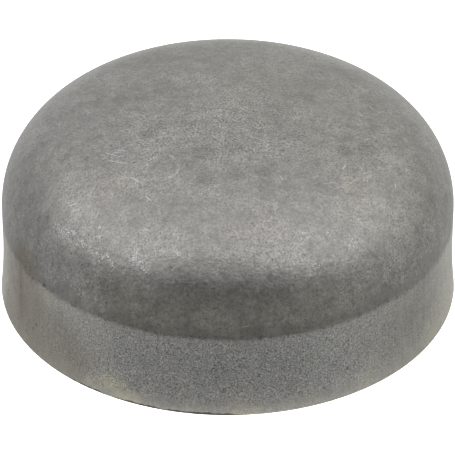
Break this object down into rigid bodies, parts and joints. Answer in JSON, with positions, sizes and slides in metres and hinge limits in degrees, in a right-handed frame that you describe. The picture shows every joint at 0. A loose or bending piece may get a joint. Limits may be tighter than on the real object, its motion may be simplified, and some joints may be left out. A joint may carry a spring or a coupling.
{
  "type": "tube end cap",
  "caption": "Domed steel cap that is welded over the open end of a round tube: a shallow crown on a rounded shoulder, a plain side band and a hollow underside.",
  "frame": {"origin": "centre of the mouth's face", "axes": "+Z along the cap's axis, from the mouth to the crown"},
  "size_m": [0.0508, 0.0508, 0.0225],
  "materials": {
    "drawn_steel": "bare mild steel, dull drawn dome above a lighter, grainy trimmed band"
  },
  "bodies": {
    "root": {"end_cap": "drawn_steel"}
  },
  "joints": []
}
